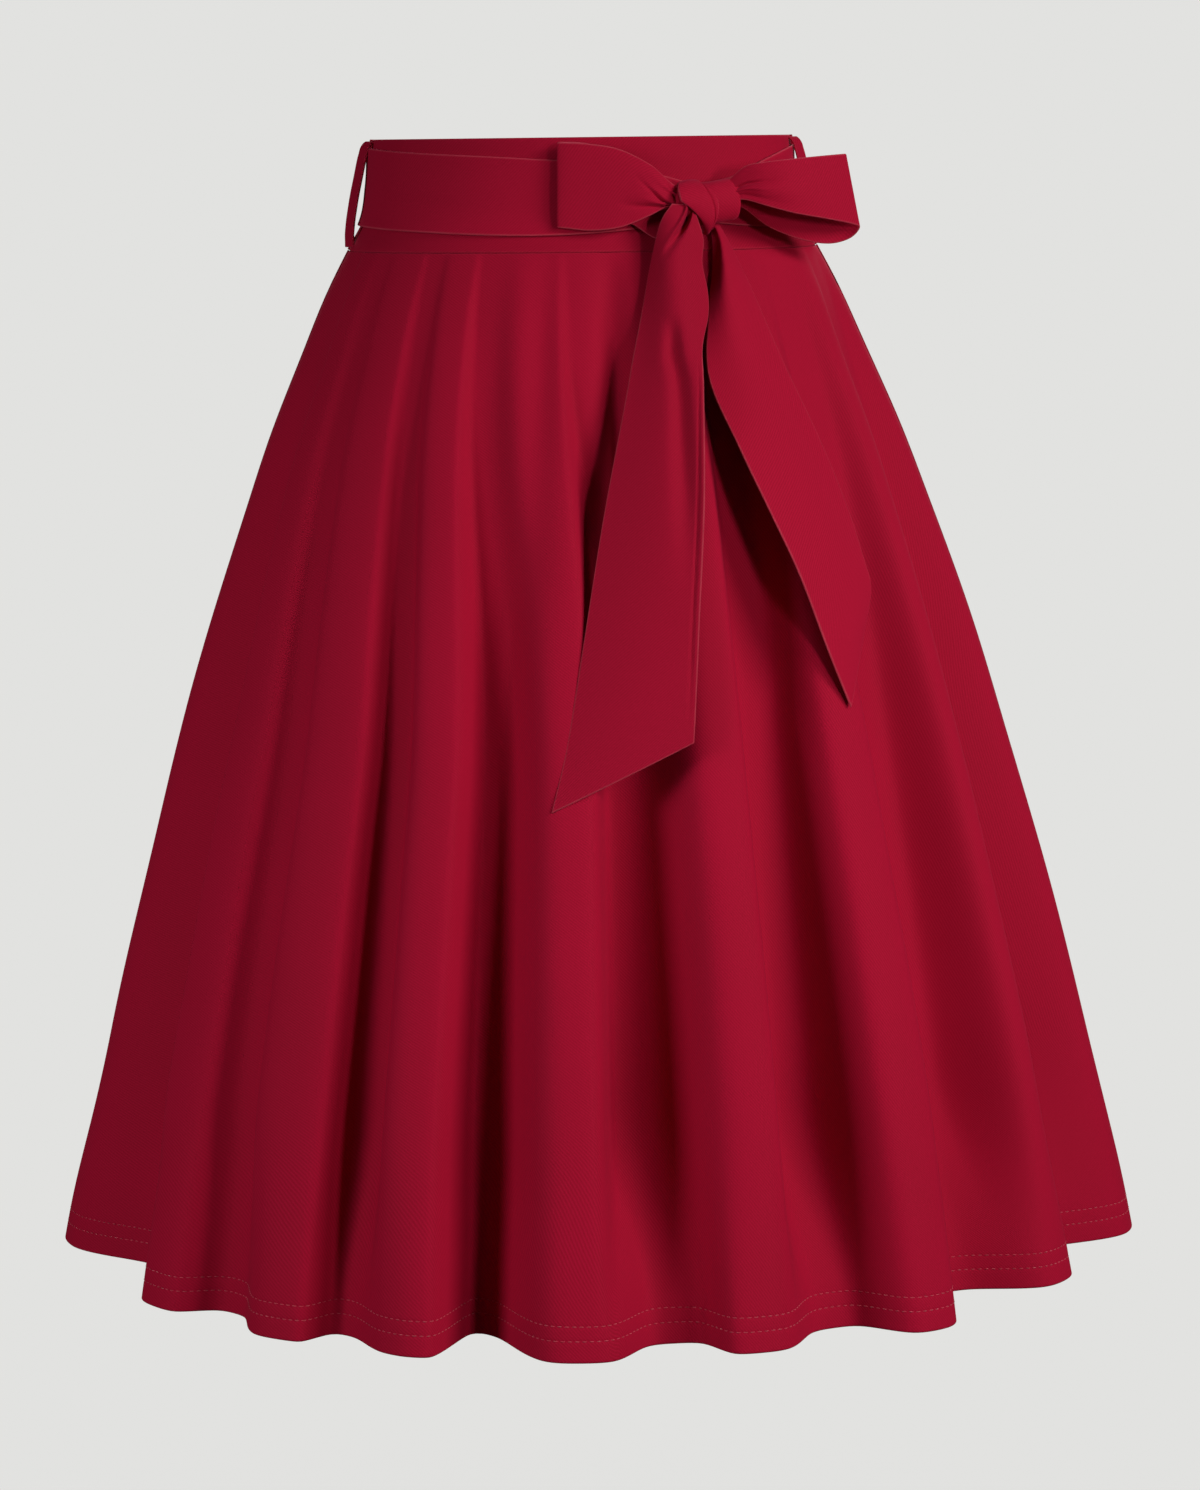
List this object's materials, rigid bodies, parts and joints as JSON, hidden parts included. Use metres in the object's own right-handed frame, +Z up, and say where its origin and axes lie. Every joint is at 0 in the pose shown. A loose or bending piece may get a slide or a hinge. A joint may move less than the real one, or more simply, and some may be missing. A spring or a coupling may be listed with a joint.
{
  "type": "a-line skirt",
  "caption": "Flared knee-length skirt in soft folds, with a contoured waistband, side belt loops and a sash tied in a bow.",
  "frame": {"origin": "centre of the waist opening, level with the waistband's top edge", "axes": "+Z up along the wearer's body, -Y towards the front, +X to the right of someone who looks at the front"},
  "size_m": [0.6841, 0.6268, 0.695],
  "materials": {
    "skirt_cloth": "matte crimson woven cloth with a fine diagonal weave",
    "waistband_cloth": "the same cloth, stiffened in the waistband",
    "sash_cloth": "the same cloth in a double layer, with a soft sheen"
  },
  "bodies": {
    "root": {"skirt_front": "skirt_cloth", "skirt_back": "skirt_cloth", "waistband_front": "waistband_cloth", "waistband_back": "waistband_cloth", "belt_loop_left": "waistband_cloth", "belt_loop_right": "waistband_cloth", "sash_waist": "sash_cloth", "knot_core": "sash_cloth", "knot_wrap": "sash_cloth", "bow_loop_left": "sash_cloth", "bow_loop_right": "sash_cloth", "tail_left": "sash_cloth", "tail_right": "sash_cloth"}
  },
  "joints": []
}
